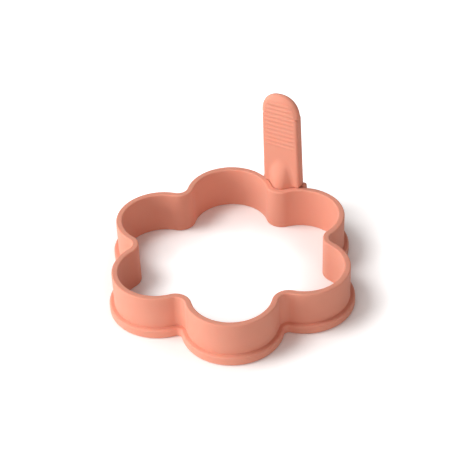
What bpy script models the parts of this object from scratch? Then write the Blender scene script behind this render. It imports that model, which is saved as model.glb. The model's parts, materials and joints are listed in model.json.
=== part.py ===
"""Six-lobed silicone egg ring with a fold-down handle.

The ring is a flower-shaped wall with a flange round its foot. In one valley between two
lobes a moulded block carries two ears, and the ribbed handle swings between them on a
pin. In use it stands up with a slight lean over the ring, and it folds outwards to lie
level. Metres, +Z up, with the origin on the table under the middle of the ring. The
front lobe points to -Y.
"""

import math

import bmesh
import bpy
from mathutils import Matrix, Vector

# The flower, seen from above: round lobes joined by hollow valleys.
lobe_count = 6
lobe_centre_radius = 0.036
lobe_radius = 0.0199
valley_radius = 0.0043
lobe_steps = 18
valley_steps = 6

# The wall's cross-section.
ring_height = 0.020
wall_thickness = 0.0028
rim_rounding = 0.0009
foot_rounding = 0.0004
flange_height = 0.0042
flange_reach = 0.0021
flange_top_rounding = 0.0014
flange_foot_rounding = 0.0006
flange_fillet = 0.0006

# The handle's shank and its arched tip. Lengths run up from the hinge axis, before it leans.
handle_lean = math.radians(2)
handle_front = 0.0041
handle_back = 0.0011
shank_foot_width = 0.0183
shank_top_width = 0.0167
shank_rounding = 0.0008
shank_length = 0.0384
tip_length = 0.0104
tip_width = 0.0171
tip_step = 0.00015
tip_rounding = 0.0017
tip_fullness = 0.9
tip_lap = 0.0040

# The grip ribs across the handle's face, counted down from the top one.
rib_count = 11
rib_pitch = 0.00221
rib_top_margin = 0.0045
rib_width = 0.0014
rib_proud = 0.0003
rib_root = 0.0003
rib_side_margin = 0.0017

# The nose, which carries the valley's hollow on up the handle.
nose_height = 0.0135
nose_curve = 1.5
nose_wall_gap = 0.00035
nose_root = 0.0026

# The hinge. Its axis lies level across the valley, outside the wall and just under the rim.
axis_reach = 0.00835
axis_drop = 0.0008
barrel_radius = 0.0019
ear_radius = 0.0019
ear_thickness = 0.0016
ear_rounding = 0.0008
side_gap = 0.0003
turning_gap = 0.00035
foot_gap = 0.0006
pin_radius = 0.0008
pin_gap = 0.00025
socket_depth = 0.0010
block_inset = 0.0003
block_top_drop = 0.0010
block_back_drop = 0.0055
block_foot_lap = 0.0002

# Cutters run this far past what they cut.
overrun = 0.002

# Steps of the round shapes.
rounding_steps = 3
barrel_steps = 16
nose_levels = 8
nose_search_steps = 200
pin_steps = 20
ear_steps = 28
arch_steps = 20

valley_angle = math.pi / lobe_count
handle_direction = 2 * valley_angle
handle_middle = (handle_back - handle_front) / 2
tip_thickness = handle_front + handle_back - 2 * tip_step
block_top = axis_drop - block_top_drop
nose_foot = block_top + foot_gap
ear_inner = shank_foot_width / 2 + side_gap
ear_outer = ear_inner + ear_thickness


def clear_scene():
    for item in list(bpy.data.objects):
        bpy.data.objects.remove(item, do_unlink=True)


def finish(name, colour, roughness, metallic=0.0):
    """A plain finish of one colour."""
    made = bpy.data.materials.new(name)
    made.use_nodes = True
    shader = made.node_tree.nodes["Principled BSDF"]
    shader.inputs["Base Color"].default_value = (*colour, 1.0)
    shader.inputs["Roughness"].default_value = roughness
    shader.inputs["Metallic"].default_value = metallic
    return made


def add_object(name, mesh_data, material=None, parent=None, cutter=False):
    """One object of the scene, either a piece or a cutter or tool that stays out of sight."""
    mesh = bpy.data.meshes.new(name)
    bmesh.ops.recalc_face_normals(mesh_data, faces=mesh_data.faces)
    mesh_data.to_mesh(mesh)
    mesh_data.free()
    made = bpy.data.objects.new(name, mesh)
    bpy.context.scene.collection.objects.link(made)
    made.parent = parent
    if material:
        mesh.materials.append(material)
    if cutter:
        made.hide_render = True
        made.display_type = "WIRE"
    mesh.shade_smooth()
    mesh.set_sharp_from_angle(angle=math.radians(35))
    return made


def combine(piece, other, operation):
    step = piece.modifiers.new(f"{operation.lower()}_{other.name}", "BOOLEAN")
    step.operation = operation
    step.solver = "EXACT"
    step.object = other


def add_skin(data, rings, closed_path=False):
    """Skins a row of closed rings of points. The end rings are capped unless the row closes."""
    rows = [[data.verts.new(point) for point in ring] for ring in rings]
    pairs = zip(rows, rows[1:] + rows[:1]) if closed_path else zip(rows, rows[1:])
    for row, following in pairs:
        size = len(row)
        for i in range(size):
            j = (i + 1) % size
            data.faces.new((row[i], row[j], following[j], following[i]))
    if not closed_path:
        data.faces.new(rows[0])
        data.faces.new(rows[-1])


def rings_to_solid(rings, closed_path=False):
    data = bmesh.new()
    add_skin(data, rings, closed_path)
    return data


def arc(centre, radius, start, end, steps):
    """Points along an arc, both ends included. Angles are in radians."""
    return [
        (
            centre[0] + radius * math.cos(start + (end - start) * i / steps),
            centre[1] + radius * math.sin(start + (end - start) * i / steps),
        )
        for i in range(steps + 1)
    ]


def valley_centre_radius():
    """How far from the ring's centre the hollow arc of a valley has its own centre."""
    across = lobe_centre_radius * math.sin(valley_angle)
    reach = lobe_radius + valley_radius
    return lobe_centre_radius * math.cos(valley_angle) + math.sqrt(reach**2 - across**2)


def lobe_half_angle():
    """Half the sweep of a lobe, from its middle to where the valley's arc takes over."""
    fillet = valley_centre_radius()
    along = fillet * math.cos(valley_angle) - lobe_centre_radius
    return math.atan2(fillet * math.sin(valley_angle), along)


def flower_path():
    """Points of the wall's outer face and the direction out of it, once round from the front."""
    half = lobe_half_angle()
    turn = 2 * valley_angle
    valley_half = half - valley_angle
    path = []
    for lobe in range(lobe_count):
        facing = lobe * turn - math.pi / 2
        centre = Vector((math.cos(facing), math.sin(facing))) * lobe_centre_radius
        for step in range(lobe_steps):
            angle = facing - half + 2 * half * step / lobe_steps
            out = Vector((math.cos(angle), math.sin(angle)))
            path.append((centre + out * lobe_radius, out))
        hollow = facing + valley_angle
        centre = Vector((math.cos(hollow), math.sin(hollow))) * valley_centre_radius()
        for step in range(valley_steps):
            angle = hollow + valley_half - 2 * valley_half * step / valley_steps
            out = Vector((math.cos(angle), math.sin(angle)))
            path.append((centre - out * valley_radius, out))
    return path


def wall_section():
    """The wall's cross-section as distances out from its outer face, and heights."""
    quarter = math.pi / 2
    inner = -wall_thickness
    points = []
    points += arc((inner + foot_rounding, foot_rounding), foot_rounding, 3 * quarter, 2 * quarter, 1)
    rim_low = ring_height - rim_rounding
    points += arc((inner + rim_rounding, rim_low), rim_rounding, 2 * quarter, quarter, rounding_steps)
    points += arc((-rim_rounding, rim_low), rim_rounding, quarter, 0, rounding_steps)
    corner = flange_reach - flange_top_rounding
    fillet = min(flange_fillet, corner)
    points += arc((fillet, flange_height + fillet), fillet, 2 * quarter, 3 * quarter, 2)
    low = flange_height - flange_top_rounding
    points += arc((corner, low), flange_top_rounding, quarter, 0, rounding_steps)
    corner = flange_reach - flange_foot_rounding
    points += arc((corner, flange_foot_rounding), flange_foot_rounding, 0, -quarter, 1)
    return points


def ring_wall():
    section = wall_section()
    rings = [
        [(*(place + out * reach), height) for reach, height in section]
        for place, out in flower_path()
    ]
    return rings_to_solid(rings, closed_path=True)


def wall_radius_at(across):
    """Distance of the wall's outer face from the ring's centre, along the handle's direction,
    at a distance across from the middle of the valley."""
    hollow = valley_centre_radius()
    half = lobe_half_angle() - valley_angle
    if abs(across) <= valley_radius * math.sin(half):
        return hollow - math.sqrt(valley_radius**2 - across**2)
    beside = lobe_centre_radius * math.sin(valley_angle) - abs(across)
    return lobe_centre_radius * math.cos(valley_angle) + math.sqrt(lobe_radius**2 - beside**2)


def wall_from_axis(across):
    """The wall's outer face, measured out from the hinge axis."""
    return wall_radius_at(across) - wall_radius_at(0) - axis_reach


def prism(outline, low, high, place):
    """An outline of (u, v) points carried from low to high; place makes (x, y, z) of (u, v, w)."""
    return rings_to_solid([[place(u, v, w) for u, v in outline] for w in (low, high)])


def block_plan():
    """The hinge block from above, measured from the axis: its inner edge runs inside the wall."""
    steps = 3 * valley_steps
    half = ear_outer - block_inset
    back = ear_radius - block_inset
    across = [half * (2 * i / steps - 1) for i in range(steps + 1)]
    inner = [(x, wall_from_axis(x) - wall_thickness / 2) for x in across]
    return inner + [(half, back), (-half, back)]


def block_foot():
    """Height of the hinge block's underside at the wall, where it sinks into the flange."""
    return flange_height - block_foot_lap - ring_height + axis_drop


def block_profile():
    """The hinge block from its side, measured from the axis: (out, up)."""
    inner = wall_from_axis(0) - wall_thickness
    back_foot = axis_drop - block_back_drop
    return [(inner, block_foot()), (inner, block_top), (ear_radius, block_top), (ear_radius, back_foot)]


def block_form(hinge):
    """The solid block in the valley, as a plan and a side profile that are crossed."""
    plan = prism(block_plan(), block_foot() - overrun, ear_radius, lambda u, v, w: (u, v, w))
    block = add_object("hinge_block_form", plan, parent=hinge, cutter=True)
    wide = ear_outer + overrun
    side = prism(block_profile(), -wide, wide, lambda u, v, w: (w, u, v))
    combine(block, add_object("hinge_block_side", side, parent=hinge, cutter=True), "INTERSECT")
    return block


def ear_form(hinge):
    """A bar with rounded ends along the hinge axis. The handle's room leaves its ends as ears."""
    circle = arc((0, 0), ear_radius, 0, 2 * math.pi, ear_steps)[:-1]
    bar = rounded_slab(with_normals(circle), 2 * ear_outer, ear_rounding, lambda u, v, w: (w, u, v))
    return add_object("ear_form", bar, parent=hinge, cutter=True)


def handle_room(hinge):
    """The room that the handle's foot turns in, between the ears."""
    room = barrel_radius + turning_gap
    far = ear_radius + overrun
    outline = arc((0, 0), room, math.pi, 1.5 * math.pi, barrel_steps)
    outline += [(far, -room), (far, far), (-room, far)]
    wide = ear_inner
    return add_object(
        "handle_room", prism(outline, -wide, wide, lambda u, v, w: (w, u, v)), parent=hinge, cutter=True
    )


def rod(radius, half_length):
    """A round bar along the hinge axis."""
    circle = arc((0, 0), radius, 0, 2 * math.pi, pin_steps)[:-1]
    return prism(circle, -half_length, half_length, lambda u, v, w: (w, u, v))


def make_ring(hinge, material):
    ring = add_object("ring_body", ring_wall(), material)
    combine(ring, block_form(hinge), "UNION")
    combine(ring, ear_form(hinge), "UNION")
    combine(ring, handle_room(hinge), "DIFFERENCE")
    sockets = rod(pin_radius + pin_gap, ear_inner + socket_depth)
    combine(ring, add_object("pin_sockets", sockets, parent=hinge, cutter=True), "DIFFERENCE")
    return ring


def rounded_slab(outline, thickness, rounding, place):
    """An outline given thickness, with its two edges rounded. Each point carries the way out."""
    rings = []
    quarter = math.pi / 2
    for side in (-1, 1):
        turns = range(rounding_steps + 1) if side < 0 else range(rounding_steps, -1, -1)
        for turn in turns:
            angle = quarter * turn / rounding_steps
            inset = rounding * (1 - math.sin(angle))
            depth = side * (thickness / 2 - rounding * (1 - math.cos(angle)))
            rings.append([place(u - du * inset, v - dv * inset, depth) for u, v, du, dv in outline])
    return rings_to_solid(rings)


def with_normals(points):
    """Each point of a closed outline, with the direction out of it at that point."""
    turned = []
    size = len(points)
    area = sum(
        points[i][0] * points[(i + 1) % size][1] - points[(i + 1) % size][0] * points[i][1]
        for i in range(size)
    )
    sense = 1 if area > 0 else -1
    for i, point in enumerate(points):
        before = Vector(point) - Vector(points[i - 1])
        after = Vector(points[(i + 1) % size]) - Vector(point)
        first = Vector((before.y, -before.x)).normalized() * sense
        second = Vector((after.y, -after.x)).normalized() * sense
        middle = (first + second).normalized()
        reach = 1 / middle.dot(first)
        turned.append((*point, middle.x * reach, middle.y * reach))
    return turned


def shank_half_width(up):
    """The shank narrows evenly all the way up, and is as wide as its foot at the axis."""
    share = up / shank_length
    return (shank_foot_width + (shank_top_width - shank_foot_width) * share) / 2


def shank():
    """The barrel round the pin and the flat shank above it, as a side view given its width."""
    foot = axis_drop + foot_gap
    end = 2 * math.pi + math.acos(handle_back / barrel_radius)
    outline = arc((0, 0), barrel_radius, math.pi, end, barrel_steps)
    outline += [(handle_back, shank_length), (-handle_front, shank_length)]
    outline += [(-handle_front, foot), (-barrel_radius, foot)]

    def place(u, v, w):
        return (w * shank_half_width(v) / (shank_foot_width / 2), u, v)

    return rounded_slab(with_normals(outline), shank_foot_width, shank_rounding, place)


def tip():
    """The arched end, which starts a little way down inside the shank."""
    low = shank_length - tip_lap
    half = tip_width / 2
    outline = [(half, low)]
    for step in range(arch_steps + 1):
        angle = math.pi * step / arch_steps
        sideways = math.copysign(abs(math.cos(angle)) ** tip_fullness, math.cos(angle))
        rise = tip_length * abs(math.sin(angle)) ** tip_fullness
        outline.append((half * sideways, shank_length + rise))
    outline.append((-half, low))

    def place(u, v, w):
        return (u, w + handle_middle, v)

    return rounded_slab(with_normals(outline), tip_thickness, tip_rounding, place)


def nose_outline():
    """The valley's outer hollow, less a gap, out to where it meets the handle's face."""
    face = -handle_front
    steps = 4 * valley_steps
    most = shank_half_width(nose_foot) - shank_rounding
    tries = [most * i / nose_search_steps for i in range(nose_search_steps)]
    reach = max(x for x in tries if wall_from_axis(x) + nose_wall_gap < face)
    across = [reach * (2 * i / steps - 1) for i in range(steps + 1)]
    front = [(x, wall_from_axis(x) + nose_wall_gap) for x in across]
    return front + [(reach, face + nose_root), (-reach, face + nose_root)]


def nose():
    """The hollow's outline carried up and drawn back until it has sunk into the shank."""
    outline = nose_outline()
    root = nose_root - handle_front
    depth = -handle_front - min(v for _, v in outline)
    rings = []
    for level in range(nose_levels + 2):
        share = level / nose_levels
        left_share = 1 - depth / (depth + nose_root) * share**nose_curve
        up = nose_foot + nose_height * share
        rings.append([(u, root + (v - root) * left_share, up) for u, v in outline])
    return rings_to_solid(rings)


def rib_section(across, face, up, height):
    """A half ellipse that stands on its chord, which lies inside the handle."""
    crown = arc((0, 0), 1, 0, math.pi, 2 * rounding_steps)
    return [(across, face + rib_root - v * height, up + u * rib_width / 2) for u, v in crown]


def rib(face, up, half):
    """One rib: a low bar across the face, whose ends dip into it."""
    full = rib_root + rib_proud
    sunk = rib_root / 2
    stations = ((-half - rib_proud, sunk), (-half, full), (half, full), (half + rib_proud, sunk))
    return [rib_section(across, face, up, height) for across, height in stations]


def ribs():
    """All the grip ribs, up the shank and on over the tip."""
    data = bmesh.new()
    for i in range(rib_count):
        up = shank_length + tip_length - rib_top_margin - i * rib_pitch
        face = -handle_front
        half = shank_half_width(up) - rib_side_margin
        if up > shank_length:
            rise_share = (up - shank_length) / tip_length
            face = -handle_front + tip_step
            half = tip_width / 2 * math.sqrt(1 - rise_share**2) - rib_side_margin
        add_skin(data, rib(face, up, half))
    return data


def make_handle(hinge, material):
    handle = add_object("handle", shank(), material, hinge)
    handle.rotation_euler.x = handle_lean
    combine(handle, add_object("handle_tip_form", tip(), parent=handle, cutter=True), "UNION")
    combine(handle, add_object("handle_nose_form", nose(), parent=handle, cutter=True), "UNION")
    combine(handle, add_object("handle_rib_forms", ribs(), parent=handle, cutter=True), "UNION")
    bore = rod(pin_radius + pin_gap, ear_outer)
    combine(handle, add_object("handle_bore", bore, parent=handle, cutter=True), "DIFFERENCE")
    return handle


def make_pin(hinge, material):
    return add_object("hinge_pin", rod(pin_radius, ear_inner + socket_depth - pin_gap), material, hinge)


def make_hinge_axis():
    """An empty on the hinge axis: its X runs along the axis and its Y points out of the ring."""
    hinge = bpy.data.objects.new("hinge_axis", None)
    bpy.context.scene.collection.objects.link(hinge)
    direction = Vector((math.cos(handle_direction), math.sin(handle_direction)))
    place = (*(direction * (wall_radius_at(0) + axis_reach)), ring_height - axis_drop)
    turn = Matrix.Rotation(handle_direction - math.pi / 2, 4, "Z")
    hinge.matrix_world = Matrix.Translation(place) @ turn
    return hinge


def main():
    clear_scene()
    coral = finish("coral_silicone", (0.78, 0.30, 0.20), 0.55)
    steel = finish("pin_steel", (0.62, 0.62, 0.60), 0.30, 1.0)
    hinge = make_hinge_axis()
    make_ring(hinge, coral)
    make_handle(hinge, coral)
    make_pin(hinge, steel)


main()
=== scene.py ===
# %% [markdown]
# # A flower-shaped egg ring with a folding handle
#
# This lesson dresses a plain measured model of a silicone egg ring. The real thing has two soft
# mouldings in one coral colour, a ring and a handle, and a thin steel pin that joins them. The
# measured model is loaded first and stays as it is. Each moulding then gets a finer mesh in the
# same place, with the same main sizes, and a material that looks like matt moulded silicone.

import json
import math

import bmesh
import bpy
from mathutils import Matrix, Vector

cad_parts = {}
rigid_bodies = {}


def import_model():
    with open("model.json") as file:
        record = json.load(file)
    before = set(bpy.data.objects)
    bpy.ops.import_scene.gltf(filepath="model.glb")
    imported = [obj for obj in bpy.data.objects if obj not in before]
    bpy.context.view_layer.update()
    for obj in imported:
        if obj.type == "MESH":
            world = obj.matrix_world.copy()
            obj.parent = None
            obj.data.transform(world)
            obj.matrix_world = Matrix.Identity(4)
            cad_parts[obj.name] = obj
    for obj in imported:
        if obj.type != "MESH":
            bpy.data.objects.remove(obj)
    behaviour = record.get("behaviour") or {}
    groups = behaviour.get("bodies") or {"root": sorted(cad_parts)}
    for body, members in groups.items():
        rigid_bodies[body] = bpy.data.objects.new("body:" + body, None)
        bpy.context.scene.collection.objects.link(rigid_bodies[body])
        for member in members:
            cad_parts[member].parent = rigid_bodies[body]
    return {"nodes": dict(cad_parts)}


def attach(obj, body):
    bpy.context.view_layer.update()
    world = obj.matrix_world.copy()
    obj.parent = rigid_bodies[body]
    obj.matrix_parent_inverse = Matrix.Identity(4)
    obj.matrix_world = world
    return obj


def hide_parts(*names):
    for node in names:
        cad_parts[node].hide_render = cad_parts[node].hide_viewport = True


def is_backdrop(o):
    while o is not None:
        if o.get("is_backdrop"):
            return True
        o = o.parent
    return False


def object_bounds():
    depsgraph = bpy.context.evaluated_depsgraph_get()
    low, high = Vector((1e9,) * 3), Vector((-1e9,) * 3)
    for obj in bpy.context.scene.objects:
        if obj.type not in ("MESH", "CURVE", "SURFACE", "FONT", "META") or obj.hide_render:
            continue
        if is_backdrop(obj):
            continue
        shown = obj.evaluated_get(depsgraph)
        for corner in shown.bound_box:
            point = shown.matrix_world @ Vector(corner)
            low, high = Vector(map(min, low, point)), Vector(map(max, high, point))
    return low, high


for item in list(bpy.data.objects):
    bpy.data.objects.remove(item, do_unlink=True)
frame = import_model()
cad_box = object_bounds()

# %% [markdown]
# ## The camera
#
# The picture looks down on the ring from the front, by about 38 degrees, through a long lens
# that stands well back, so that the far lobes look hardly smaller than the near ones. A camera
# could be turned until the picture looks right, but a view with a known height, a small roll
# and one target is easier to repeat, so the camera's three directions are worked out here. The
# values were found by laying the flower's outline over the picture.

# %% Place the camera
MM = 0.001
QUARTER = math.pi / 2
VIEW_AZIMUTH = math.radians(0.94)
VIEW_HEIGHT = math.radians(37.88)
VIEW_ROLL = math.radians(-2.40)
VIEW_TARGET = Vector((-0.384, 20.442, 9.934)) * MM
VIEW_DISTANCE = 621.9 * MM
VIEW_LENS = 107.53


def camera_matrix(azimuth, height, roll, target, distance):
    """A camera's place and turn, from its angles round a target and its distance."""
    back = Vector(
        (
            math.sin(azimuth) * math.cos(height),
            -math.cos(azimuth) * math.cos(height),
            math.sin(height),
        )
    )
    right = (-back).cross(Vector((0, 0, 1))).normalized()
    up = right.cross(-back)
    across = right * math.cos(roll) + up * math.sin(roll)
    upward = up * math.cos(roll) - right * math.sin(roll)
    turned = Matrix((across, upward, back)).transposed().to_4x4()
    return Matrix.Translation(target + back * distance) @ turned


camera = bpy.data.objects.new("camera", bpy.data.cameras.new("camera"))
camera.data.lens = VIEW_LENS
camera.matrix_world = camera_matrix(
    VIEW_AZIMUTH, VIEW_HEIGHT, VIEW_ROLL, VIEW_TARGET, VIEW_DISTANCE
)
bpy.context.scene.collection.objects.link(camera)
bpy.context.scene.camera = camera
print("camera at", [round(value, 3) for value in camera.matrix_world.translation])

# %% [markdown]
# ## The sizes
#
# The main sizes below are the measured model's own, written in millimetres, so a new piece
# falls where the old one is. A closer look at the picture gave the small ones: the roundings of
# the rim and the flange, the ears, the handle's widths, and the tip's thickness and rounding.
# Round shapes have more steps than in the measured model, because this mesh is made to be
# looked at.

# %% Sizes of the ring
LOBES = 6
LOBE_CENTRE_RADIUS = 36 * MM
LOBE_RADIUS = 19.9 * MM
VALLEY_RADIUS = 4.3 * MM
LOBE_POINTS = 72
VALLEY_POINTS = 18
RIM_STEPS = 9
FILLET_STEPS = 5
FOOT_STEPS = 4

RING_HEIGHT = 20 * MM
WALL_THICKNESS = 2.8 * MM
RIM_ROUNDING = 0.65 * MM
FOOT_ROUNDING = 0.4 * MM
FLANGE_HEIGHT = 4.2 * MM
FLANGE_REACH = 2.1 * MM
FLANGE_TOP_ROUNDING = 0.9 * MM
FLANGE_FOOT_ROUNDING = 0.6 * MM
FLANGE_FILLET = 0.12 * MM

VALLEY_ANGLE = math.pi / LOBES
ACROSS = LOBE_CENTRE_RADIUS * math.sin(VALLEY_ANGLE)
ALONG = LOBE_CENTRE_RADIUS * math.cos(VALLEY_ANGLE)
VALLEY_CENTRE = ALONG + math.sqrt((LOBE_RADIUS + VALLEY_RADIUS) ** 2 - ACROSS**2)
HOLLOW = VALLEY_CENTRE - VALLEY_RADIUS
LOBE_HALF = math.atan2(
    VALLEY_CENTRE * math.sin(VALLEY_ANGLE),
    VALLEY_CENTRE * math.cos(VALLEY_ANGLE) - LOBE_CENTRE_RADIUS,
)
print(f"the wall's hollow lies {HOLLOW / MM:.2f} mm from the middle")

# %% Sizes of the handle and hinge
LEAN = math.radians(2)
FACE = -4.1 * MM
BACK = 1.1 * MM
FOOT_WIDTH = 18.5 * MM
TOP_WIDTH = 17.4 * MM
SIDE_ROUNDING = 1.3 * MM
SHANK_LENGTH = 38.4 * MM
TIP_LENGTH = 10.4 * MM
TIP_WIDTH = 18.4 * MM
TIP_STEP = 0.1 * MM
TIP_THICKNESS = 4.3 * MM
TIP_ROUNDING = 3.0 * MM
TIP_ROUNDING_DEPTH = 2.1 * MM
TIP_FULLNESS = 0.9
TIP_LAP = 4.0 * MM

AXIS_REACH = 8.35 * MM
AXIS_DROP = 0.8 * MM
BARREL_RADIUS = 1.9 * MM
EAR_RADIUS = 1.65 * MM
EAR_INNER = 9.45 * MM
EAR_OUTER = 10.7 * MM
EAR_ROUNDING = 1.0 * MM
TURNING_GAP = 0.35 * MM
BORE_RADIUS = 1.05 * MM
SOCKET_DEPTH = 1.0 * MM
AXIS_RADIUS = HOLLOW + AXIS_REACH
HANDLE_DIRECTION = 2 * VALLEY_ANGLE

HINGE = Matrix.Translation(
    (
        AXIS_RADIUS * math.cos(HANDLE_DIRECTION),
        AXIS_RADIUS * math.sin(HANDLE_DIRECTION),
        RING_HEIGHT - AXIS_DROP,
    )
) @ Matrix.Rotation(HANDLE_DIRECTION - QUARTER, 4, "Z")
HANDLE = HINGE @ Matrix.Rotation(LEAN, 4, "X")
print(f"the hinge axis lies {AXIS_RADIUS / MM:.2f} mm from the middle")

# %% [markdown]
# ## Small helpers
#
# A few helpers serve every piece. One draws an arc as points, one skins a row of rings into a
# closed mesh, and one puts a mesh in the scene. Two more turn what a modifier shows into plain
# mesh, and cut or join two pieces. They use bmesh, which holds a mesh while it is being made
# and hands it over once.

# %% Arcs, skins and objects


def arc(centre, radius, start, end, steps):
    """Points along an arc, both ends included, with angles in radians."""
    x, y = centre
    turns = [start + (end - start) * i / steps for i in range(steps + 1)]
    return [(x + radius * math.cos(turn), y + radius * math.sin(turn)) for turn in turns]


def skin(rings):
    """A closed mesh through a row of closed rings, with both end rings filled."""
    made = bmesh.new()
    rows = [[made.verts.new(point) for point in ring] for ring in rings]
    for row, following in zip(rows, rows[1:]):
        for i in range(len(row)):
            j = (i + 1) % len(row)
            made.faces.new((row[i], row[j], following[j], following[i]))
    made.faces.new(rows[0])
    made.faces.new(rows[-1])
    bmesh.ops.recalc_face_normals(made, faces=made.faces)
    return made


def add_piece(name, made):
    """An object at the origin with the mesh that was made."""
    mesh = bpy.data.meshes.new(name)
    made.to_mesh(mesh)
    made.free()
    mesh.shade_smooth()
    piece = bpy.data.objects.new(name, mesh)
    bpy.context.scene.collection.objects.link(piece)
    return piece


def settle(piece):
    """Turns what the modifiers show into the piece's own plain mesh."""
    graph = bpy.context.evaluated_depsgraph_get()
    mesh = bpy.data.meshes.new_from_object(piece.evaluated_get(graph))
    piece.modifiers.clear()
    piece.data = mesh
    mesh.name = piece.name
    return piece


def cut_or_join(piece, other, operation):
    """Applies one Boolean with another object, which is used up by it."""
    step = piece.modifiers.new("cut_or_join", "BOOLEAN")
    step.operation = operation
    step.solver = "EXACT"
    step.object = other
    settle(piece)
    bpy.data.objects.remove(other, do_unlink=True)


def describe(piece):
    """Prints a piece's face count and its size."""
    low = [min(v.co[i] for v in piece.data.vertices) / MM for i in range(3)]
    high = [max(v.co[i] for v in piece.data.vertices) / MM for i in range(3)]
    spans = " x ".join(f"{b - a:.1f}" for a, b in zip(low, high))
    print(f"{piece.name}: {len(piece.data.polygons)} faces, {spans} mm")


print("helpers are ready")

# %% [markdown]
# ## The wall's section
#
# Cut the ring anywhere and its wall shows the same section: an upright strip with a rounded
# rim, and at its foot a low flange that keeps egg from running out under it. Every edge is
# rounded, as it has to be to leave a mould. The section is drawn once, as distances out from
# the wall's outer face and heights above the table.

# %% Draw the section


def wall_section():
    """The outline of the wall's section, from its inner foot over the rim to the flange."""
    inner, rim = -WALL_THICKNESS, RING_HEIGHT - RIM_ROUNDING
    foot = (inner + FOOT_ROUNDING, FOOT_ROUNDING)
    points = arc(foot, FOOT_ROUNDING, 3 * QUARTER, 2 * QUARTER, FOOT_STEPS)
    points += arc((inner + RIM_ROUNDING, rim), RIM_ROUNDING, 2 * QUARTER, QUARTER, RIM_STEPS)
    points += arc((-RIM_ROUNDING, rim), RIM_ROUNDING, QUARTER, 0, RIM_STEPS)
    fillet = (FLANGE_FILLET, FLANGE_HEIGHT + FLANGE_FILLET)
    points += arc(fillet, FLANGE_FILLET, 2 * QUARTER, 3 * QUARTER, FILLET_STEPS)
    corner = (FLANGE_REACH - FLANGE_TOP_ROUNDING, FLANGE_HEIGHT - FLANGE_TOP_ROUNDING)
    points += arc(corner, FLANGE_TOP_ROUNDING, QUARTER, 0, RIM_STEPS)
    corner = (FLANGE_REACH - FLANGE_FOOT_ROUNDING, FLANGE_FOOT_ROUNDING)
    points += arc(corner, FLANGE_FOOT_ROUNDING, 0, -QUARTER, FILLET_STEPS)
    return points


def closed_curve(name, points):
    """A curve object through the points, from which a sweep takes its section."""
    curve = bpy.data.curves.new(name, "CURVE")
    spline = curve.splines.new("POLY")
    spline.points.add(len(points) - 1)
    for point, place in zip(spline.points, points):
        point.co = (*place, 0, 1)
    spline.use_cyclic_u = True
    made = bpy.data.objects.new(name, curve)
    bpy.context.scene.collection.objects.link(made)
    return made


section = closed_curve("wall_section", wall_section())
print("the section has", len(section.data.splines[0].points), "points")

# %% [markdown]
# ## The ring, grown by Geometry Nodes
#
# The flower follows a rule: a round lobe, a hollow valley, and the pair repeated six times. It
# could be drawn by hand as a curve, but then each new size would mean a new drawing. Geometry
# Nodes state the rule instead. One lobe arc and one valley arc are drawn, copied round the
# middle, and welded into one closed curve. The section is then swept along it. The tree works
# out by itself where a lobe has to stop so that the valley meets it without a kink.

# %% A small builder for node trees


class Tree:
    """A node tree under construction. A value that isn't a socket is typed into the input."""

    def __init__(self, tree):
        self.tree = tree

    def feed(self, socket, value):
        if isinstance(value, bpy.types.NodeSocket):
            self.tree.links.new(value, socket)
        elif value is not None:
            socket.default_value = value

    def add(self, kind, settings=None, **values):
        node = self.tree.nodes.new(kind)
        for name, value in (settings or {}).items():
            setattr(node, name, value)
        for label, value in values.items():
            self.feed(node.inputs[label.replace("_", " ")], value)
        return node

    def math(self, operation, first, second=None):
        node = self.tree.nodes.new("ShaderNodeMath")
        node.operation = operation
        self.feed(node.inputs[0], first)
        self.feed(node.inputs[1], second)
        return node.outputs[0]

    def mix(self, share, first, second):
        """A colour mixed from two. The Mix node keeps its colour inputs at places 6 and 7."""
        node = self.add("ShaderNodeMix", {"data_type": "RGBA"})
        for place, value in ((0, share), (6, first), (7, second)):
            self.feed(node.inputs[place], value)
        return node.outputs[2]

    def vector(self, x=0.0, y=0.0, z=0.0):
        return self.add("ShaderNodeCombineXYZ", X=x, Y=y, Z=z).outputs[0]


def node_group(name, kind, inputs, outputs):
    """A new group with named inputs and outputs, ready for its nodes."""
    group = Tree(bpy.data.node_groups.new(name, kind))
    for label, socket_type, value in inputs:
        socket = group.tree.interface.new_socket(label, in_out="INPUT", socket_type=socket_type)
        if value is not None:
            socket.default_value = value
    for label, socket_type in outputs:
        group.tree.interface.new_socket(label, in_out="OUTPUT", socket_type=socket_type)
    group.given = group.tree.nodes.new("NodeGroupInput").outputs
    group.result = group.tree.nodes.new("NodeGroupOutput").inputs
    return group


print("the tree builder is ready")

# %% Build the flower tree
WELD = 0.01 * MM
FRONT_LOBE = -QUARTER


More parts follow.
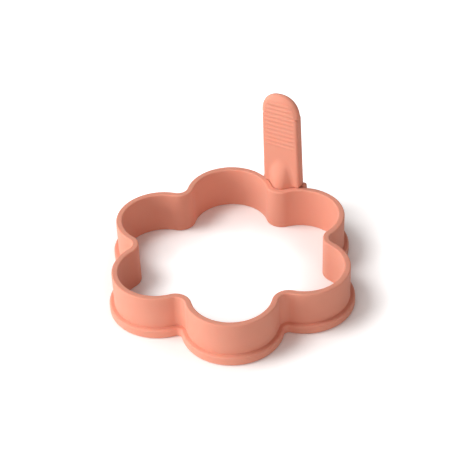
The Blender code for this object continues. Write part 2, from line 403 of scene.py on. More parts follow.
def flower_tree():
    """Sweeps a section along a curve of round lobes and hollow valleys."""
    tree = node_group(
        "flower_sweep",
        "GeometryNodeTree",
        [
            ("Lobes", "NodeSocketInt", LOBES),
            ("Lobe Centre Radius", "NodeSocketFloat", LOBE_CENTRE_RADIUS),
            ("Lobe Radius", "NodeSocketFloat", LOBE_RADIUS),
            ("Valley Radius", "NodeSocketFloat", VALLEY_RADIUS),
            ("Lobe Points", "NodeSocketInt", LOBE_POINTS),
            ("Valley Points", "NodeSocketInt", VALLEY_POINTS),
            ("Section", "NodeSocketObject", None),
            ("Material", "NodeSocketMaterial", None),
        ],
        [("Geometry", "NodeSocketGeometry")],
    )
    given, maths = tree.given, tree.math
    centre, lobe, valley = given["Lobe Centre Radius"], given["Lobe Radius"], given["Valley Radius"]
    turn = maths("DIVIDE", math.pi, given["Lobes"])
    across = maths("MULTIPLY", centre, maths("SINE", turn))
    along = maths("MULTIPLY", centre, maths("COSINE", turn))
    reach = maths("POWER", maths("ADD", lobe, valley), 2.0)
    rest = maths("SQRT", maths("SUBTRACT", reach, maths("POWER", across, 2.0)))
    hollow = maths("ADD", along, rest)
    hollow_x = maths("MULTIPLY", hollow, maths("COSINE", turn))
    hollow_y = maths("MULTIPLY", hollow, maths("SINE", turn))
    lobe_half = maths("ARCTAN2", hollow_y, maths("SUBTRACT", hollow_x, centre))
    valley_half = maths("SUBTRACT", lobe_half, turn)

    def placed_arc(points, radius, start, sweep, x, y):
        drawn = tree.add(
            "GeometryNodeCurveArc",
            {"mode": "RADIUS"},
            Resolution=points,
            Radius=radius,
            Start_Angle=start,
            Sweep_Angle=sweep,
        )
        place = tree.vector(x, y)
        curve = drawn.outputs["Curve"]
        return tree.add("GeometryNodeTransform", Geometry=curve, Translation=place)

    start = maths("MULTIPLY", lobe_half, -1.0)
    sweep = maths("MULTIPLY", lobe_half, 2.0)
    lobe_arc = placed_arc(given["Lobe Points"], lobe, start, sweep, centre, 0.0)
    start = maths("SUBTRACT", maths("ADD", turn, math.pi), valley_half)
    sweep = maths("MULTIPLY", valley_half, 2.0)
    valley_arc = placed_arc(given["Valley Points"], valley, start, sweep, hollow_x, hollow_y)
    pair = tree.add("GeometryNodeJoinGeometry")
    tree.feed(pair.inputs[0], lobe_arc.outputs[0])
    tree.feed(pair.inputs[0], valley_arc.outputs[0])

    index = tree.add("GeometryNodeInputIndex").outputs[0]
    facing = maths("ADD", maths("MULTIPLY", maths("MULTIPLY", turn, 2.0), index), FRONT_LOBE)
    spots = tree.add("GeometryNodePoints", Count=given["Lobes"]).outputs[0]
    turned = tree.add("FunctionNodeEulerToRotation", Euler=tree.vector(z=facing)).outputs[0]
    copies = tree.add(
        "GeometryNodeInstanceOnPoints", Points=spots, Instance=pair.outputs[0], Rotation=turned
    )
    real = tree.add("GeometryNodeRealizeInstances", Geometry=copies.outputs[0])
    edges = tree.add("GeometryNodeCurveToMesh", Curve=real.outputs[0])
    welded = tree.add("GeometryNodeMergeByDistance", Geometry=edges.outputs[0], Distance=WELD)
    rail = tree.add("GeometryNodeMeshToCurve", Mesh=welded.outputs[0])
    level = tree.add("GeometryNodeSetCurveNormal", {"mode": "Z_UP"}, Curve=rail.outputs[0])
    drawn = tree.add("GeometryNodeObjectInfo", Object=given["Section"]).outputs["Geometry"]
    upright = tree.add("GeometryNodeTransform", Geometry=drawn, Rotation=(0, 0, math.pi)).outputs[0]
    swept = tree.add("GeometryNodeCurveToMesh", Curve=level.outputs[0], Profile_Curve=upright)
    outward = tree.add("GeometryNodeFlipFaces", Mesh=swept.outputs[0])
    smooth = tree.add("GeometryNodeSetShadeSmooth", Geometry=outward.outputs[0])
    whole = tree.add("GeometryNodeRealizeInstances", Geometry=smooth.outputs[0])
    dressed = tree.add(
        "GeometryNodeSetMaterial", Geometry=whole.outputs[0], Material=given["Material"]
    )
    tree.feed(tree.result[0], dressed.outputs[0])
    return tree.tree


def grow(name, tree, values):
    """An object whose mesh comes from a node tree. The inputs are set before it is first seen."""
    piece = add_piece(name, bmesh.new())
    grower = piece.modifiers.new(name, "NODES")
    grower.node_group = tree
    for socket in tree.interface.items_tree:
        if socket.item_type == "SOCKET" and socket.name in values:
            grower[socket.identifier] = values[socket.name]
    return settle(piece)


ring_shell = grow("ring_shell", flower_tree(), {"Section": section})
bpy.data.objects.remove(section, do_unlink=True)
describe(ring_shell)

# %% [markdown]
# ## The hinge block
#
# Behind one valley a moulded block fills the hollow up to just below the rim and carries two
# ears, with the handle's foot between them. It is drawn from above, with a fillet where it
# meets each lobe, and from the side, where its underside slants back to the wall. The solid
# that both drawings share is the block. Its edges are then rounded with a Bevel modifier.

# %% The wall, as the hinge sees it
BLOCK_HALF = 10.75 * MM
BLOCK_BACK = 1.6 * MM
BLOCK_TOP = -0.2 * MM
BLOCK_BACK_FOOT = -4.7 * MM
BLOCK_FOOT = -15.2 * MM
BLOCK_FILLET = 1.2 * MM
BLOCK_CORNER = 0.9 * MM
BLOCK_BEVEL = 0.35 * MM
BEVEL_ANGLE = math.radians(40)
BEVEL_STEPS = 4
BLOCK_STEPS = 8
WALL_STEPS = 24

# A joined shape sinks into the other by SINK, and a cutting shape runs past it by OVERRUN.
SINK = 0.06 * MM
OVERRUN = 2 * MM


def wall_from_axis(across):
    """The wall's outer face, measured out from the hinge axis."""
    valley_half = LOBE_HALF - VALLEY_ANGLE
    if abs(across) <= VALLEY_RADIUS * math.sin(valley_half):
        return VALLEY_CENTRE - math.sqrt(VALLEY_RADIUS**2 - across**2) - AXIS_RADIUS
    beside = ACROSS - abs(across)
    return ALONG + math.sqrt(LOBE_RADIUS**2 - beside**2) - AXIS_RADIUS


def block_plan():
    """Right half of the block from above, from the back's middle round to inside the wall."""
    lobe = Vector((ACROSS, ALONG - AXIS_RADIUS))
    reach = LOBE_RADIUS + BLOCK_FILLET
    fillet_x = BLOCK_HALF + BLOCK_FILLET
    fillet = Vector((fillet_x, lobe.y + math.sqrt(reach**2 - (lobe.x - fillet_x) ** 2)))
    to_lobe = lobe - fillet
    stop = math.atan2(to_lobe.y, to_lobe.x) + 2 * math.pi
    corner = (BLOCK_HALF - BLOCK_CORNER, BLOCK_BACK - BLOCK_CORNER)
    points = [(0, BLOCK_BACK)] + arc(corner, BLOCK_CORNER, QUARTER, 0, BLOCK_STEPS)
    points += arc(tuple(fillet), BLOCK_FILLET + SINK, math.pi, stop, BLOCK_STEPS)
    last = points[-1][0]
    inner = [last * (1 - i / WALL_STEPS) for i in range(WALL_STEPS + 1)]
    return points + [(x, wall_from_axis(x) - WALL_THICKNESS / 2) for x in inner]


half_plan = block_plan()
print("half of the block's plan has", len(half_plan), "points")

# %% Make the block


def mirrored(points):
    """A closed outline from its right half, whose first and last points lie in the middle."""
    return points + [(-x, y) for x, y in reversed(points[1:-1])]


def extrude(outline, low, high, place):
    """An outline carried from one depth to another, with its points put in place by a function."""
    return skin([[place(u, v, w) for u, v in outline] for w in (low, high)])


# Each of these places a flat drawing, (u, v), and its depth, w, in the hinge's own directions:
# x across the handle, y outwards and z up.
def seen_from_above(u, v, w):
    return (u, v, w)


def seen_from_side(u, v, w):
    return (w, u, v)


def seen_from_front(u, v, w):
    return (u, w, v)


plan = extrude(mirrored(half_plan), BLOCK_FOOT - OVERRUN, BACK, seen_from_above)
block = add_piece("hinge_block", plan)
inside = wall_from_axis(0) - WALL_THICKNESS
side_view = [(inside, BLOCK_FOOT), (inside, BLOCK_TOP)]
side_view += [(BLOCK_BACK, BLOCK_TOP), (BLOCK_BACK, BLOCK_BACK_FOOT)]
reach = EAR_OUTER + 2 * OVERRUN
side = add_piece("side", extrude(side_view, -reach, reach, seen_from_side))
cut_or_join(block, side, "INTERSECT")
edge_round = block.modifiers.new("edge_round", "BEVEL")
edge_round.width = BLOCK_BEVEL
edge_round.segments = BEVEL_STEPS
edge_round.limit_method = "ANGLE"
edge_round.angle_limit = BEVEL_ANGLE
settle(block)
describe(block)

# %% [markdown]
# ## The ears
#
# Each ear is a short drum on the hinge axis with a rounded outer edge. One long drum is made,
# and the room that the handle's foot needs is cut out of its middle, so both ears and the hollow
# under the foot come from one cut. A blind socket in each ear takes an end of the pin.

# %% Make the ears and join them to the ring
EAR_STEPS = 48
ROD_STEPS = 40
ROOM_STEPS = 16


def with_normals(points):
    """Each point of a closed outline, with the way out of it there."""
    following = points[1:] + points[:1]
    area = sum(x * next_y - next_x * y for (x, y), (next_x, next_y) in zip(points, following))
    sense = 1 if area > 0 else -1
    turned = []
    for i, point in enumerate(points):
        before = Vector(point) - Vector(points[i - 1])
        after = Vector(following[i]) - Vector(point)
        first = Vector((before.y, -before.x)).normalized() * sense
        second = Vector((after.y, -after.x)).normalized() * sense
        middle = (first + second).normalized()
        turned.append((*point, *(middle / middle.dot(first))))
    return turned


def rounded_slab(outline, thickness, rounding, deep, place, steps=8):
    """An outline given thickness, with its edges rounded by as much inwards and as deep as said."""
    drawn = with_normals(outline)
    rings = []
    for side in (-1, 1):
        turns = range(steps + 1) if side < 0 else range(steps, -1, -1)
        for turn in turns:
            angle = QUARTER * turn / steps
            inset = rounding * (1 - math.sin(angle))
            depth = side * (thickness / 2 - deep * (1 - math.cos(angle)))
            rings.append([place(u - du * inset, v - dv * inset, depth) for u, v, du, dv in drawn])
    return skin(rings)


def circle(radius, steps):
    return arc((0, 0), radius, 0, 2 * math.pi, steps)[:-1]


def rod(radius, half_length):
    return extrude(circle(radius, ROD_STEPS), -half_length, half_length, seen_from_side)


drum = rounded_slab(
    circle(EAR_RADIUS, EAR_STEPS), 2 * EAR_OUTER, EAR_ROUNDING, EAR_ROUNDING, seen_from_side
)
cut_or_join(block, add_piece("ears", drum), "UNION")
room = BARREL_RADIUS + TURNING_GAP
far = EAR_RADIUS + OVERRUN
room_view = arc((0, 0), room, 2 * QUARTER, 3 * QUARTER, ROOM_STEPS)
room_view += [(far, -room), (far, far), (-room, far)]
middle_room = add_piece("room", extrude(room_view, -EAR_INNER, EAR_INNER, seen_from_side))
cut_or_join(block, middle_room, "DIFFERENCE")
cut_or_join(block, add_piece("sockets", rod(BORE_RADIUS, EAR_INNER + SOCKET_DEPTH)), "DIFFERENCE")
block.data.transform(HINGE)
cut_or_join(ring_shell, block, "UNION")
describe(ring_shell)

# %% [markdown]
# ## The handle's shank
#
# From the side the shank is a slab five millimetres thick, with a barrel round the pin at its
# foot. It could be a box with bevels, but its front also carries a nose, which goes on
# up from the hollow of the valley and fades out. So the side view is carried across the width
# in many rings, and the points on the front are pushed out by the nose's depth there. Where the
# nose begins, a soft blend keeps the skin free of a crease.

# %% The nose's depth
NOSE_FOOT = 0.12 * MM
NOSE_HEIGHT = 13.6 * MM
NOSE_CURVE = 1.5
NOSE_GAP = 0.15 * MM
NOSE_ROOT = 2.6 * MM
NOSE_BLEND = 0.6 * MM
SHANK_FOOT = 0.95 * MM
NOSE_HOLLOW = FACE - wall_from_axis(0) - NOSE_GAP


def nose_depth(across, up):
    """How far the nose stands out of the face."""
    share = max(up - NOSE_FOOT, 0) / NOSE_HEIGHT
    there = FACE - wall_from_axis(across) - NOSE_GAP
    left = 1 - NOSE_HOLLOW / (NOSE_HOLLOW + NOSE_ROOT) * share**NOSE_CURVE
    depth = (NOSE_ROOT + there) * left - NOSE_ROOT
    # Within a blend's reach of the face, a parabola takes over, so no crease shows there.
    blend = NOSE_BLEND * (1 + share / 2)
    if depth > blend:
        return depth
    return max(depth + blend, 0) ** 2 / (4 * blend)


print(f"the nose stands out by {nose_depth(0, 0) / MM:.1f} mm at its foot")

# %% Make the shank
ROWS = 56
ROW_CROWDING = 0.8
COLUMNS = 46
BARREL_STEPS = 32
EDGE_STEPS = 4
LEDGE_ROUNDING = 0.12 * MM
FACE_FOOT_ROUNDING = 0.3 * MM
LEAST_ROUNDING = 0.02 * MM
NOSE_FOOT_RUN = 0.5 * MM
NOSE_FOOT_FADE = 3 * MM
SIDE_STEPS = 8


def half_width(up):
    """Half of the shank's width, which shrinks evenly from the foot to the ledge."""
    return (FOOT_WIDTH + (TOP_WIDTH - FOOT_WIDTH) * up / SHANK_LENGTH) / 2


def shank_outline(inset):
    """The side view drawn in by an inset, as (out, up, 1 where the nose may push it)."""
    ledge = max(LEDGE_ROUNDING - inset, LEAST_ROUNDING)
    foot = max(FACE_FOOT_ROUNDING - inset, LEAST_ROUNDING)
    barrel, back, face = BARREL_RADIUS - inset, BACK - inset, FACE + inset
    top, low = SHANK_LENGTH - inset - ledge, SHANK_FOOT + inset + foot
    meets_back = 4 * QUARTER + math.acos(back / barrel)
    points = arc((0, 0), barrel, 2 * QUARTER, meets_back, BARREL_STEPS)
    points += arc((back - ledge, top), ledge, 0, QUARTER, EDGE_STEPS)
    points += arc((face + ledge, top), ledge, QUARTER, 2 * QUARTER, EDGE_STEPS)
    plain = [(*point, 0) for point in points]
    rows = [(face, top + (low - top) * (i / ROWS) ** ROW_CROWDING) for i in range(1, ROWS)]
    rows += arc((face + foot, low), foot, 2 * QUARTER, 3 * QUARTER, EDGE_STEPS)
    return plain + [(*point, 1) for point in rows] + [(-barrel, SHANK_FOOT + inset, 0)]


def shank():
    """The side view carried across the width, with the nose pushed out of the face."""
    turns = [QUARTER * i / SIDE_STEPS for i in range(SIDE_STEPS + 1)]
    sides = [(SIDE_ROUNDING * (1 - math.sin(a)), SIDE_ROUNDING * (1 - math.cos(a))) for a in turns]
    # A station says where the ring stands across the width, and how far it is drawn in.
    stations = [(-1, inset, drawn_in) for inset, drawn_in in sides]
    stations += [(2 * i / COLUMNS - 1, 0, SIDE_ROUNDING) for i in range(1, COLUMNS)]
    stations += [(1, inset, drawn_in) for inset, drawn_in in reversed(sides)]
    rings = []
    for place, inset, drawn_in in stations:
        ring = []
        for out, up, pushed in shank_outline(inset):
            across = place * (half_width(up) - drawn_in)
            if pushed:
                begun = min(nose_depth(across, up) / NOSE_FOOT_RUN, 1)
                low = max(1 - (up - SHANK_FOOT) / NOSE_FOOT_FADE, 0)
                up -= begun * (SHANK_FOOT - NOSE_FOOT) * low
                out -= nose_depth(across, up)
            ring.append((across, out, up))
        rings.append(ring)
    return skin(rings)


handle_shell = add_piece("handle_shell", shank())
describe(handle_shell)

# %% [markdown]
# ## The handle's tip
#
# The tip is an arch that stands a hair behind the shank's face, so a small ledge shows where it
# starts. It is also thinner at the back. Its edge is rounded much more than the shank's, across
# nearly the whole thickness, and that makes the broad soft band round the arch. The arch starts
# lower than it shows and is cut off at the ledge, so its rounded foot is gone.

# %% Make the tip and join it to the shank
TIP_POINTS = 60
TIP_ROUNDING_STEPS = 12


def tip():
    """An arch, a little fuller than half an ellipse, given thickness and rounded edges."""
    half = TIP_WIDTH / 2
    outline = [(half, SHANK_LENGTH - TIP_LAP)]
    for step in range(TIP_POINTS + 1):
        angle = math.pi * step / TIP_POINTS
        sideways = math.copysign(abs(math.cos(angle)) ** TIP_FULLNESS, math.cos(angle))
        rise = abs(math.sin(angle)) ** TIP_FULLNESS
        outline.append((half * sideways, SHANK_LENGTH + TIP_LENGTH * rise))
    outline.append((-half, SHANK_LENGTH - TIP_LAP))
    middle = FACE + TIP_STEP + TIP_THICKNESS / 2

    def place(u, v, w):
        return seen_from_front(u, v, w + middle)

    return rounded_slab(
        outline, TIP_THICKNESS, TIP_ROUNDING, TIP_ROUNDING_DEPTH, place, TIP_ROUNDING_STEPS
    )


arch = add_piece("tip", tip())
start, end = SHANK_LENGTH - SINK, SHANK_LENGTH + 2 * TIP_LENGTH
above = [(-TIP_WIDTH, start), (TIP_WIDTH, start), (TIP_WIDTH, end), (-TIP_WIDTH, end)]
kept_part = add_piece("above", extrude(above, -TIP_WIDTH, TIP_WIDTH, seen_from_front))
cut_or_join(arch, kept_part, "INTERSECT")
cut_or_join(handle_shell, arch, "UNION")
cut_or_join(handle_shell, add_piece("bore", rod(BORE_RADIUS, EAR_OUTER)), "DIFFERENCE")
handle_shell.data.transform(HANDLE)
describe(handle_shell)

# %% [markdown]
# ## The grip ribs
#
# Eleven low ribs cross the face for the fingers. They repeat at one pitch, so Geometry Nodes
# make them: one rib is a soft wave swept along a short line and pinched at both ends, and it
# is copied up the face. On the arch the copies get shorter, and they step back with the tip.
# The mould cuts ribs and handle in one, so the ribs are joined to the handle's mesh.

# %% Build the rib tree
RIBS = 11
RIB_PITCH = 2.21 * MM
RIB_TOP_MARGIN = 4.5 * MM
RIB_TOP = SHANK_LENGTH + TIP_LENGTH - RIB_TOP_MARGIN
RIB_WIDTH = 2.05 * MM
RIB_PROUD = 0.19 * MM
RIB_LIFT = 0.012 * MM
RIB_ROOT = 0.1 * MM
RIB_MARGIN = 1.2 * MM
RIB_LINE_POINTS = 61
RIB_WAVE_STEPS = 12
PINCH_SHARPNESS = 6.0
LEAST_PINCH = 0.05


def rib_tree():
    """Copies one pinched rib up the face, shorter and set back where it lies on the arch."""
    tree = node_group(
        "grip_ribs",
        "GeometryNodeTree",
        [
            ("Ribs", "NodeSocketInt", RIBS),
            ("Pitch", "NodeSocketFloat", RIB_PITCH),
            ("Top Rib", "NodeSocketFloat", RIB_TOP),
            ("Half Length", "NodeSocketFloat", half_width(RIB_TOP) - RIB_MARGIN),
            ("Ledge", "NodeSocketFloat", SHANK_LENGTH),
            ("Arch Height", "NodeSocketFloat", TIP_LENGTH),
            ("Face", "NodeSocketFloat", FACE),
            ("Step", "NodeSocketFloat", TIP_STEP),
            ("Section", "NodeSocketObject", None),
            ("Material", "NodeSocketMaterial", None),
        ],
        [("Geometry", "NodeSocketGeometry")],
    )
    given, maths = tree.given, tree.math
    index = tree.add("GeometryNodeInputIndex").outputs[0]
    up = maths("SUBTRACT", given["Top Rib"], maths("MULTIPLY", index, given["Pitch"]))
    above = maths("GREATER_THAN", up, given["Ledge"])
    rise = maths("DIVIDE", maths("SUBTRACT", up, given["Ledge"]), given["Arch Height"])
    rise = maths("MAXIMUM", rise, 0.0)
    shrink = maths("SQRT", maths("SUBTRACT", 1.0, maths("POWER", rise, 2.0)))
    out = maths("ADD", given["Face"], maths("MULTIPLY", above, given["Step"]))

    half = given["Half Length"]
    left, right = tree.vector(maths("MULTIPLY", half, -1.0)), tree.vector(half)
    line = tree.add("GeometryNodeCurvePrimitiveLine", Start=left, End=right)
    fine = tree.add("GeometryNodeResampleCurve", Curve=line.outputs[0], Count=RIB_LINE_POINTS)
    along = tree.add("GeometryNodeSplineParameter").outputs["Factor"]
    off = maths("ABSOLUTE", maths("SUBTRACT", maths("MULTIPLY", along, 2.0), 1.0))
    pinch = maths("POWER", maths("SUBTRACT", 1.0, maths("POWER", off, PINCH_SHARPNESS)), 0.5)
    pinch = maths("MAXIMUM", pinch, LEAST_PINCH)
    drawn = tree.add("GeometryNodeObjectInfo", Object=given["Section"]).outputs["Geometry"]
    rib = tree.add(
        "GeometryNodeCurveToMesh",
        Curve=fine.outputs[0],
        Profile_Curve=drawn,
        Scale=pinch,
        Fill_Caps=True,
    )

    place = tree.vector(0.0, out, up)
    spots = tree.add("GeometryNodePoints", Count=given["Ribs"], Position=place).outputs[0]
    size = tree.vector(shrink, 1.0, 1.0)
    copies = tree.add(
        "GeometryNodeInstanceOnPoints", Points=spots, Instance=rib.outputs[0], Scale=size
    )
    whole = tree.add("GeometryNodeRealizeInstances", Geometry=copies.outputs[0])
    smooth = tree.add("GeometryNodeSetShadeSmooth", Geometry=whole.outputs[0])
    dressed = tree.add(
        "GeometryNodeSetMaterial", Geometry=smooth.outputs[0], Material=given["Material"]
    )
    tree.feed(tree.result[0], dressed.outputs[0])
    return tree.tree


def rib_section():
    """A soft wave above the face, closed by a flat root that lies inside the handle."""
    half = RIB_WIDTH / 2
    steps = [1 - i / RIB_WAVE_STEPS for i in range(2 * RIB_WAVE_STEPS + 1)]
    wave = [(RIB_LIFT + RIB_PROUD * (1 + math.cos(math.pi * x)) / 2, half * x) for x in steps]
    return wave + [(-RIB_ROOT, -half), (-RIB_ROOT, half)]


rib_form = closed_curve("rib_section", rib_section())
grip_ribs = grow("grip_ribs", rib_tree(), {"Section": rib_form})
bpy.data.objects.remove(rib_form, do_unlink=True)
describe(grip_ribs)
grip_ribs.data.transform(HANDLE)
cut_or_join(handle_shell, grip_ribs, "UNION")
describe(handle_shell)

# %% [markdown]
# ## The look of moulded silicone
#
# Silicone from a blasted mould is matt and slightly soft to look into: light goes a little way
# in and comes out warmer, which takes the hardness off every edge. Up close it has a very fine
# grain, a faint unevenness of tone, smudges from handling that show only in the sheen, and a
# few specks of lint. Those four effects are one shader node group, so the ring and the handle
# can share it. The group gives out a colour, a roughness and a height, and the shader itself,
# with its depth of light and its sheen, stays in the material.

# %% Build the surface group
LINT_SIZE = 0.035
LINT_RARITY = 0.86
SMUDGE_SCALE = 95.0


def surface_group():
    """Colour, roughness and height of a moulded surface, from its tone, lint, smudges and grain."""
    group = node_group(
        "moulded_surface",
        "ShaderNodeTree",
        [
            ("Colour", "NodeSocketColor", (0.8, 0.4, 0.3, 1)),
            ("Deep Colour", "NodeSocketColor", (0.7, 0.3, 0.2, 1)),
            ("Lint Colour", "NodeSocketColor", (0.9, 0.85, 0.8, 1)),
            ("Tone Scale", "NodeSocketFloat", 60.0),
            ("Tone Amount", "NodeSocketFloat", 0.2),
            ("Roughness", "NodeSocketFloat", 0.5),
            ("Smudge Amount", "NodeSocketFloat", 0.1),
            ("Grain Scale", "NodeSocketFloat", 3000.0),
            ("Lint Scale", "NodeSocketFloat", 140.0),
            ("Lint Amount", "NodeSocketFloat", 0.3),
        ],
        [
            ("Colour", "NodeSocketColor"),
            ("Roughness", "NodeSocketFloat"),
            ("Height", "NodeSocketFloat"),
        ],
    )
    given, maths = group.given, group.math
    place = group.add("ShaderNodeTexCoord").outputs["Object"]

    tone = group.add(
        "ShaderNodeTexNoise", Vector=place, Scale=given["Tone Scale"], Detail=3.0, Roughness=0.55
    )
    deep = maths("MULTIPLY", tone.outputs[0], given["Tone Amount"])
    toned = group.mix(deep, given["Colour"], given["Deep Colour"])

    # Each cell of the pattern may hold one speck in its middle, and most cells stay empty.
    spots = group.add("ShaderNodeTexVoronoi", Vector=place, Scale=given["Lint Scale"])
    near = maths("LESS_THAN", spots.outputs["Distance"], LINT_SIZE)
    chosen = group.add("ShaderNodeSeparateColor", Color=spots.outputs["Color"]).outputs[0]
    lint = maths("MULTIPLY", near, maths("GREATER_THAN", chosen, LINT_RARITY))
    lint = maths("MULTIPLY", lint, given["Lint Amount"])
    group.feed(group.result[0], group.mix(lint, toned, given["Lint Colour"]))

    smudge = group.add(
        "ShaderNodeTexNoise", Vector=place, Scale=SMUDGE_SCALE, Detail=4.0, Distortion=0.8
    )
    change = maths("MULTIPLY", maths("SUBTRACT", smudge.outputs[0], 0.5), given["Smudge Amount"])
    group.feed(group.result[1], maths("ADD", given["Roughness"], change))

    grain = group.add("ShaderNodeTexNoise", Vector=place, Scale=given["Grain Scale"], Detail=2.0)
    group.feed(group.result[2], grain.outputs[0])
    return group.tree


moulded_surface = surface_group()
asked = [s.name for s in moulded_surface.interface.items_tree if s.in_out == "INPUT"]
print("surface group inputs:", asked)

# %% Mix the coral silicone
CORAL = (0.79, 0.345, 0.248, 1)
CORAL_DEEP = (0.74, 0.285, 0.195, 1)
GRAIN_STRENGTH = 0.12
GRAIN_DEPTH = 0.02 * MM
SILICONE = {
    "Subsurface Weight": 0.25,
    "Subsurface Radius": (1.0, 0.35, 0.22),
    "Subsurface Scale": 1.0 * MM,
    "IOR": 1.41,
    "Specular IOR Level": 0.18,
    "Sheen Weight": 0.03,
    "Sheen Roughness": 0.5,
}


def new_material(name, constants):
    """A material, the builder for its tree, and its shader with the constants set."""
    made = bpy.data.materials.new(name)
    made.use_nodes = True
    tree = Tree(made.node_tree)
    shader = made.node_tree.nodes["Principled BSDF"]
    for label, value in constants.items():
        shader.inputs[label].default_value = value
    return made, tree, shader


def silicone(name, roughness, **changes):
    """Coral silicone of a given roughness. Changes go to the surface group's inputs."""
    made, tree, shader = new_material(name, SILICONE)
    values = {"Colour": CORAL, "Deep Colour": CORAL_DEEP, "Roughness": roughness, **changes}
    surface = tree.add("ShaderNodeGroup", {"node_tree": moulded_surface}, **values)
    bump = tree.add(
        "ShaderNodeBump",
        Strength=GRAIN_STRENGTH,
        Distance=GRAIN_DEPTH,
        Height=surface.outputs["Height"],
    )
    tree.feed(shader.inputs["Base Color"], surface.outputs["Colour"])
    tree.feed(shader.inputs["Roughness"], surface.outputs["Roughness"])
    tree.feed(shader.inputs["Normal"], bump.outputs["Normal"])
    return made


ring_silicone = silicone("coral_silicone", roughness=0.52)
grip_silicone = silicone("coral_silicone_grip", roughness=0.56, Smudge_Amount=0.16)
print("materials:", ring_silicone.name, grip_silicone.name)

# %% [markdown]
# ## The steel of the pin
#
# The pin is drawn wire, so its fine scratches run along it. A noise that is stretched along
# the pin's own axis gives them. The pin is short and mostly hidden, and the measured model's
# pin has the right shape, so only its material is new.

# %% Draw the steel
STEEL_DARK = (0.48, 0.48, 0.47, 1)
STEEL_LIGHT = (0.70, 0.70, 0.68, 1)
STEEL_ROUGHNESS = (0.22, 0.42)
SCRATCH_SCALE = (150, 6000, 6000)


def drawn_steel():
    """Bright steel whose tone and roughness vary in scratches along the pin."""
    made, tree, shader = new_material("pin_steel", {"Metallic": 1.0})
    place = tree.add("ShaderNodeTexCoord").outputs["Object"]
    along_pin = (0, 0, QUARTER - HANDLE_DIRECTION)
    along = tree.add("ShaderNodeMapping", Vector=place, Rotation=along_pin, Scale=SCRATCH_SCALE)
    scratches = tree.add("ShaderNodeTexNoise", Vector=along.outputs[0], Scale=1.0, Detail=4.0)
    tint = tree.add("ShaderNodeValToRGB", Fac=scratches.outputs[0])
    for element, colour in zip(tint.color_ramp.elements, (STEEL_DARK, STEEL_LIGHT)):
        element.color = colour
    least, most = STEEL_ROUGHNESS
    dull = tree.add("ShaderNodeMapRange", Value=scratches.outputs[0], To_Min=least, To_Max=most)
    tree.feed(shader.inputs["Base Color"], tint.outputs[0])
    tree.feed(shader.inputs["Roughness"], dull.outputs[0])
    return made


def wear(piece, material):
    piece.data.materials.clear()
    piece.data.materials.append(material)


pin = frame["nodes"]["hinge_pin"]
wear(ring_shell, ring_silicone)
wear(handle_shell, grip_silicone)
wear(pin, drawn_steel())
print("dressed:", ring_shell.name, handle_shell.name, pin.name)

# %% [markdown]
# ## Smooth shading that keeps flat faces flat
#
# A rounded edge between two flat faces should bend only in the edge. With plain smooth shading
# the flat faces would look swollen beside it, so each corner takes its normal mostly from the
# largest face that meets there. That is what the Weighted Normal modifier does.

# %% Weigh the normals
SHARP_ANGLE = math.radians(38)
LARGE_FACE_WEIGHT = 60

for piece in (ring_shell, handle_shell):
    piece.data.shade_smooth()
    piece.data.set_sharp_from_angle(angle=SHARP_ANGLE)
    weighing = piece.modifiers.new("flat_faces", "WEIGHTED_NORMAL")
    weighing.keep_sharp = True
    weighing.weight = LARGE_FACE_WEIGHT
    settle(piece)
    describe(piece)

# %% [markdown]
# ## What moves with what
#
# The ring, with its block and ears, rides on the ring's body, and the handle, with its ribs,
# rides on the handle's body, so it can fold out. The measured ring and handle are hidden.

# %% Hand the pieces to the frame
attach(ring_shell, "ring")
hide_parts("ring_body")
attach(handle_shell, "handle")
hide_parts("handle")
print("pieces ride on their bodies")

# %% [markdown]
# ## The table and the light
#
# The ring stands on a white sweep, lit softly from the left, so its shadow falls to the right.
# The floor's own colour is white. What the camera sees of it gets a little more, so the far
# floor reads as clean white. That extra is cut by ambient occlusion beside the ring's foot, which
# paints a darker contact shadow in the corners there, on top of the lamps' soft shadow. The
# lamps' power is worked out from how bright a white sheet under them should look, so colours
# come out about as they are written.
#
# The room gives light too, as a studio's walls do: most from the front and low down, less from
# overhead, none from behind, and a touch warm. What the camera and mirrors see of the room is
# plain white.

# %% Lay the floor
FLOOR_HALF = 3.0
FLOOR_WHITE = (0.93, 0.93, 0.93, 1)
FLOOR_LIFT = 0.6
LIFT_COLOUR = (1, 1, 1, 1)
# How far the painted contact shadow beside the ring's foot reaches, and how sharply it fades.
PAINTED_SHADE_REACH = 25 * MM
PAINTED_SHADE_FADE = 3.6


def floor_material():
    """Matt white, lifted for the camera, with painted shade where ambient occlusion cuts the lift
    beside what stands on it.
    """
    constants = {
        "Base Color": FLOOR_WHITE,
        "Roughness": 1.0,
        "Specular IOR Level": 0.0,
        "Emission Color": LIFT_COLOUR,
    }
    made, tree, shader = new_material("white_sweep", constants)
    seen = tree.add("ShaderNodeLightPath").outputs["Is Camera Ray"]
    # Ambient occlusion paints shade here: the lift drops near the ring's foot, which darkens the
    # floor there as a painted contact shadow.
    painted_shade_openness = tree.add("ShaderNodeAmbientOcclusion", Distance=PAINTED_SHADE_REACH).outputs["AO"]
    lift = tree.math("MULTIPLY", tree.math("POWER", painted_shade_openness, PAINTED_SHADE_FADE), FLOOR_LIFT)
    tree.feed(shader.inputs["Emission Strength"], tree.math("MULTIPLY", lift, seen))
    return made


sheet = bmesh.new()
bmesh.ops.create_grid(sheet, x_segments=1, y_segments=1, size=FLOOR_HALF)
floor = add_piece("floor", sheet)
floor.data.materials.append(floor_material())
floor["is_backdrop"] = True
print("the floor is", 2 * FLOOR_HALF, "m wide")

# %% Light the scene
LAMPS = {
    # name: (place, size, brightness of a white sheet under it)
    "window_high": ((-0.5, 0.03, 0.87), 0.4, 0.455),
    "window_low": ((-0.91, -0.33, 0.26), 0.5, 0.148),
}
ROOM_SIDE = (0, -1, 0)
ROOM_FRONT = 1.12
ROOM_BACK = 0.0
ROOM_OVERHEAD = 0.25
ROOM_COLOUR = (1, 0.86, 0.81, 1)
SEEN_COLOUR = (1, 1, 1, 1)


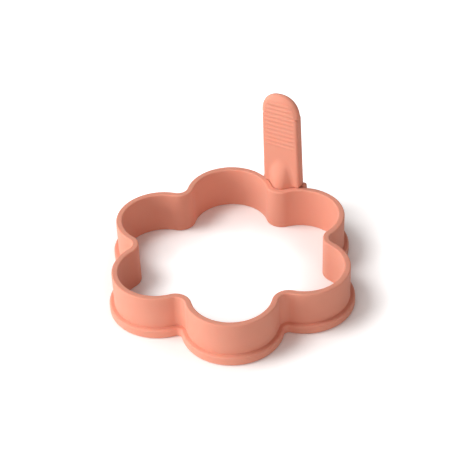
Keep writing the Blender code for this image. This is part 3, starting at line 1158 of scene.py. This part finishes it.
def add_lamp(name, place, size, brightness):
    """A square lamp that faces the middle, made as strong as its brightness there asks."""
    lamp = bpy.data.lights.new(name, "AREA")
    lamp.shape = "SQUARE"
    lamp.size = size
    place = Vector(place)
    slant = place.z / place.length
    lamp.energy = brightness * math.pi**2 * place.length_squared / slant
    made = bpy.data.objects.new(name, lamp)
    turned = place.to_track_quat("Z", "Y").to_matrix().to_4x4()
    made.matrix_world = Matrix.Translation(place) @ turned
    bpy.context.scene.collection.objects.link(made)
    return made


for name, facts in LAMPS.items():
    lamp = add_lamp(name, *facts)
    print(name, "gives", round(lamp.data.energy, 1), "W")

world = bpy.data.worlds.new("white_room")
bpy.context.scene.world = world
world.use_nodes = True
room = Tree(world.node_tree)
way = room.add("ShaderNodeTexCoord").outputs["Generated"]
facing = room.add("ShaderNodeVectorMath", {"operation": "DOT_PRODUCT"})
room.feed(facing.inputs[0], way)
room.feed(facing.inputs[1], ROOM_SIDE)
side_share = room.add(
    "ShaderNodeMapRange",
    Value=facing.outputs["Value"],
    From_Min=-1.0,
    To_Min=ROOM_BACK,
    To_Max=ROOM_FRONT,
)
upward = room.add("ShaderNodeSeparateXYZ", Vector=way).outputs["Z"]
height_share = room.add("ShaderNodeMapRange", Value=upward, To_Min=1.0, To_Max=ROOM_OVERHEAD)
strength = room.math("MULTIPLY", side_share.outputs[0], height_share.outputs[0])
room_light = world.node_tree.nodes["Background"]
room.feed(room_light.inputs["Color"], ROOM_COLOUR)
room.feed(room_light.inputs["Strength"], strength)
seen_room = room.add("ShaderNodeBackground", Color=SEEN_COLOUR)
path = room.add("ShaderNodeLightPath").outputs
direct = room.math("MAXIMUM", path["Is Camera Ray"], path["Is Glossy Ray"])
choice = room.add("ShaderNodeMixShader")
room.feed(choice.inputs[0], room.math("MAXIMUM", direct, path["Is Transmission Ray"]))
room.feed(choice.inputs[1], room_light.outputs[0])
room.feed(choice.inputs[2], seen_room.outputs[0])
room.feed(world.node_tree.nodes["World Output"].inputs[0], choice.outputs[0])
bpy.context.scene.view_settings.view_transform = "Standard"
print("the room gives", ROOM_FRONT, "in front and", ROOM_BACK, "behind")

# %% [markdown]
# ## Measure and finish
#
# The dressed model has to stay as large as the measured one. Both boxes are kept, and the
# last line prints the new one in millimetres.

# %% Keep the sizes and finish
new_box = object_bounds()
sizes = {"cad": [list(map(float, corner)) for corner in cad_box]}
sizes["visual"] = [list(map(float, corner)) for corner in new_box]
print("box:", [[round(value / MM, 1) for value in corner] for corner in sizes["visual"]])
